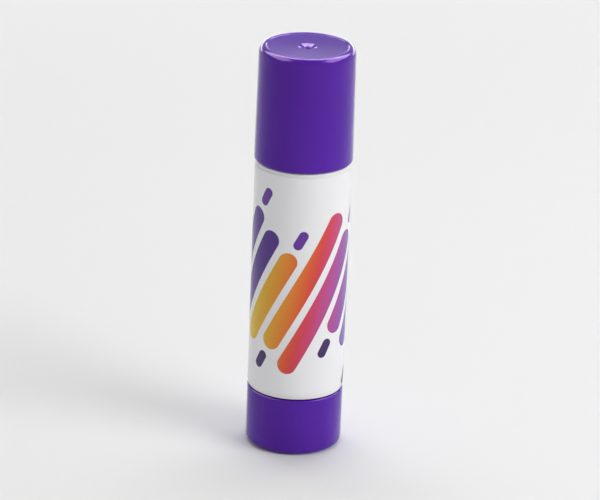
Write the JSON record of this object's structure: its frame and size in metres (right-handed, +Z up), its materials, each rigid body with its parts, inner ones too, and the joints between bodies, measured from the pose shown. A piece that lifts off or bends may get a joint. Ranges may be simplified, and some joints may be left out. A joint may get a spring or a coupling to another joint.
{
  "type": "glue stick",
  "caption": "Upright screw-fed glue stick: pull-off cap, stepped barrel with a wrap label, turning base knob, screw spindle and keyed carrier that push the glue up.",
  "frame": {"origin": "centre of the knob's underside, on the surface that the stick stands on", "axes": "+Z up along the stick towards the cap, +Y to the back where the label's ends meet, +X to the right"},
  "size_m": [0.023, 0.023, 0.098],
  "materials": {
    "purple_plastic": "glossy moulded polypropylene, dyed purple",
    "white_plastic": "glossy moulded polypropylene, white",
    "label_film": null,
    "natural_plastic": "satin moulded polypropylene, undyed white",
    "glue_mass": "waxy violet solid glue, slightly translucent"
  },
  "bodies": {
    "barrel": {"barrel": "white_plastic", "label": "label_film"},
    "drive": {"knob": "purple_plastic", "spindle": "natural_plastic"},
    "carriage": {"carrier": "natural_plastic", "glue": "glue_mass"},
    "cap": {"cap": "purple_plastic"}
  },
  "joints": [
    {"name": "knob_turn", "type": "hinge", "parent": "barrel", "child": "drive", "pos_m": [0, 0, 0.007], "axis": [0, 0, 1], "range_deg": [0, 5040]},
    {"name": "glue_rise", "type": "slide", "parent": "barrel", "child": "carriage", "axis": [0, 0, 1], "range_m": [0, 0.05605]},
    {"name": "cap_lift", "type": "slide", "parent": "carriage", "child": "cap", "axis": [0, 0, 1], "range_m": [0, 0.05]}
  ],
  "couplings": [
    {"joint": "glue_rise", "follows": "knob_turn", "m_per_rad": 0.00063662}
  ]
}
